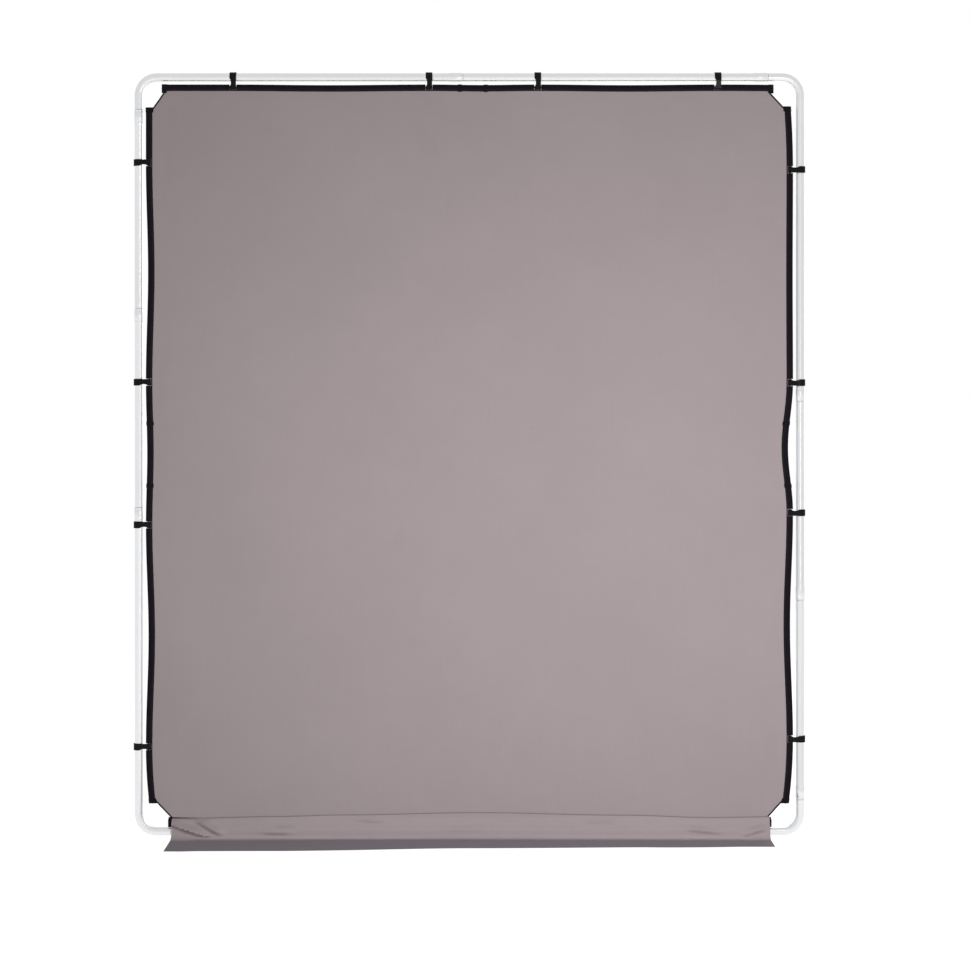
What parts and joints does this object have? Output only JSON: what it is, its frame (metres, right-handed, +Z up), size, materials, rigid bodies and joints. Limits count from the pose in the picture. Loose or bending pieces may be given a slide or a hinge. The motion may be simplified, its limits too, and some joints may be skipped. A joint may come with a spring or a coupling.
{
  "type": "background support system",
  "caption": "Freestanding rectangular tube frame with rounded corners, holding a stretched cloth background by hook clips, with a floor skirt and swing-out rear feet.",
  "frame": {"origin": "on the floor at the middle of the footprint", "axes": "+Z up the frame, +X to the right across its front, +Y away from the viewer, so the cloth faces -Y and the feet run to +Y"},
  "size_m": [2.0272, 0.6444, 2.3086],
  "materials": {
    "tube_aluminium": "satin natural aluminium tube",
    "backdrop_cloth": "matt warm grey woven cloth, faintly mottled",
    "black_webbing": "black woven tape",
    "gloss_black_plastic": "gloss black moulding",
    "fibreglass": "pale pultruded glass fibre rod",
    "shock_cord": "braided elastic cord",
    "black_steel": "black powder coat",
    "foot_rubber": "matt black rubber",
    "knob_plastic": "textured black moulding"
  },
  "bodies": {
    "frame_and_cover": {"corner_tube_top_left": "tube_aluminium", "corner_tube_top_right": "tube_aluminium", "corner_tube_bottom_right": "tube_aluminium", "corner_tube_bottom_left": "tube_aluminium", "top_tube": "tube_aluminium", "bottom_tube": "tube_aluminium", "left_tube_upper": "tube_aluminium", "left_tube_lower": "tube_aluminium", "right_tube_upper": "tube_aluminium", "right_tube_lower": "tube_aluminium", "shock_cord_left": "shock_cord", "shock_cord_right": "shock_cord", "cloth_panel": "backdrop_cloth", "floor_skirt": "backdrop_cloth", "edge_sleeve_top": "black_webbing", "batten_top_ferruled": "fibreglass", "batten_top_plain": "fibreglass", "batten_band_top_a": "black_webbing", "batten_band_top_b": "black_webbing", "edge_sleeve_right": "black_webbing", "batten_right_ferruled": "fibreglass", "batten_right_plain": "fibreglass", "batten_band_right_a": "black_webbing", "batten_band_right_b": "black_webbing", "edge_sleeve_bottom": "black_webbing", "batten_bottom_ferruled": "fibreglass", "batten_bottom_plain": "fibreglass", "edge_sleeve_left": "black_webbing", "batten_left_ferruled": "fibreglass", "batten_left_plain": "fibreglass", "batten_band_left_a": "black_webbing", "batten_band_left_b": "black_webbing", "foot_clamp_left": "black_steel", "foot_clamp_right": "black_steel"},
    "clip_top_1": {"clip_top_1": "gloss_black_plastic"},
    "clip_top_2": {"clip_top_2": "gloss_black_plastic"},
    "clip_top_3": {"clip_top_3": "gloss_black_plastic"},
    "clip_top_4": {"clip_top_4": "gloss_black_plastic"},
    "clip_right_1": {"clip_right_1": "gloss_black_plastic"},
    "clip_right_2": {"clip_right_2": "gloss_black_plastic"},
    "clip_right_3": {"clip_right_3": "gloss_black_plastic"},
    "clip_right_4": {"clip_right_4": "gloss_black_plastic"},
    "clip_bottom_1": {"clip_bottom_1": "gloss_black_plastic"},
    "clip_bottom_2": {"clip_bottom_2": "gloss_black_plastic"},
    "clip_bottom_3": {"clip_bottom_3": "gloss_black_plastic"},
    "clip_bottom_4": {"clip_bottom_4": "gloss_black_plastic"},
    "clip_left_1": {"clip_left_1": "gloss_black_plastic"},
    "clip_left_2": {"clip_left_2": "gloss_black_plastic"},
    "clip_left_3": {"clip_left_3": "gloss_black_plastic"},
    "clip_left_4": {"clip_left_4": "gloss_black_plastic"},
    "foot_left": {"foot_bar_left": "black_steel", "foot_pad_left": "foot_rubber"},
    "foot_knob_left": {"foot_knob_left": "knob_plastic"},
    "foot_right": {"foot_bar_right": "black_steel", "foot_pad_right": "foot_rubber"},
    "foot_knob_right": {"foot_knob_right": "knob_plastic"}
  },
  "joints": [
    {"name": "clip_top_1_swing", "type": "hinge", "parent": "frame_and_cover", "child": "clip_top_1", "pos_m": [-0.713, -0.1302, 2.2606], "axis": [1, 0, 0], "range_deg": [0, 90]},
    {"name": "clip_top_2_swing", "type": "hinge", "parent": "frame_and_cover", "child": "clip_top_2", "pos_m": [-0.122, -0.1302, 2.2606], "axis": [1, 0, 0], "range_deg": [0, 90]},
    {"name": "clip_top_3_swing", "type": "hinge", "parent": "frame_and_cover", "child": "clip_top_3", "pos_m": [0.206, -0.1302, 2.2606], "axis": [1, 0, 0], "range_deg": [0, 90]},
    {"name": "clip_top_4_swing", "type": "hinge", "parent": "frame_and_cover", "child": "clip_top_4", "pos_m": [0.749, -0.1302, 2.2606], "axis": [1, 0, 0], "range_deg": [0, 90]},
    {"name": "clip_right_1_swing", "type": "hinge", "parent": "frame_and_cover", "child": "clip_right_1", "pos_m": [0.9656, -0.1302, 0.298], "axis": [0, 0, -1], "range_deg": [0, 90]},
    {"name": "clip_right_2_swing", "type": "hinge", "parent": "frame_and_cover", "child": "clip_right_2", "pos_m": [0.9656, -0.1302, 0.98], "axis": [0, 0, -1], "range_deg": [0, 90]},
    {"name": "clip_right_3_swing", "type": "hinge", "parent": "frame_and_cover", "child": "clip_right_3", "pos_m": [0.9656, -0.1302, 1.372], "axis": [0, 0, -1], "range_deg": [0, 90]},
    {"name": "clip_right_4_swing", "type": "hinge", "parent": "frame_and_cover", "child": "clip_right_4", "pos_m": [0.9656, -0.1302, 2.014], "axis": [0, 0, -1], "range_deg": [0, 90]},
    {"name": "clip_bottom_1_swing", "type": "hinge", "parent": "frame_and_cover", "child": "clip_bottom_1", "pos_m": [-0.73, -0.1302, 0.0494], "axis": [-1, 0, 0], "range_deg": [0, 20]},
    {"name": "clip_bottom_2_swing", "type": "hinge", "parent": "frame_and_cover", "child": "clip_bottom_2", "pos_m": [-0.165, -0.1302, 0.0494], "axis": [-1, 0, 0], "range_deg": [0, 20]},
    {"name": "clip_bottom_3_swing", "type": "hinge", "parent": "frame_and_cover", "child": "clip_bottom_3", "pos_m": [0.165, -0.1302, 0.0494], "axis": [-1, 0, 0], "range_deg": [0, 20]},
    {"name": "clip_bottom_4_swing", "type": "hinge", "parent": "frame_and_cover", "child": "clip_bottom_4", "pos_m": [0.73, -0.1302, 0.0494], "axis": [-1, 0, 0], "range_deg": [0, 20]},
    {"name": "clip_left_1_swing", "type": "hinge", "parent": "frame_and_cover", "child": "clip_left_1", "pos_m": [-0.9656, -0.1302, 0.274], "axis": [0, 0, 1], "range_deg": [0, 90]},
    {"name": "clip_left_2_swing", "type": "hinge", "parent": "frame_and_cover", "child": "clip_left_2", "pos_m": [-0.9656, -0.1302, 0.943], "axis": [0, 0, 1], "range_deg": [0, 90]},
    {"name": "clip_left_3_swing", "type": "hinge", "parent": "frame_and_cover", "child": "clip_left_3", "pos_m": [-0.9656, -0.1302, 1.373], "axis": [0, 0, 1], "range_deg": [0, 90]},
    {"name": "clip_left_4_swing", "type": "hinge", "parent": "frame_and_cover", "child": "clip_left_4", "pos_m": [-0.9656, -0.1302, 2.035], "axis": [0, 0, 1], "range_deg": [0, 90]},
    {"name": "foot_left_swivel", "type": "hinge", "parent": "frame_and_cover", "child": "foot_left", "pos_m": [-0.48, -0.0802, 0.012], "axis": [0, 0, -1], "range_deg": [0, 90]},
    {"name": "foot_knob_left_turn", "type": "hinge", "parent": "frame_and_cover", "child": "foot_knob_left", "pos_m": [-0.48, -0.0802, 0.012], "axis": [0, 0, 1], "range_deg": [0, 360]},
    {"name": "foot_right_swivel", "type": "hinge", "parent": "frame_and_cover", "child": "foot_right", "pos_m": [0.48, -0.0802, 0.012], "axis": [0, 0, 1], "range_deg": [0, 90]},
    {"name": "foot_knob_right_turn", "type": "hinge", "parent": "frame_and_cover", "child": "foot_knob_right", "pos_m": [0.48, -0.0802, 0.012], "axis": [0, 0, 1], "range_deg": [0, 360]}
  ]
}
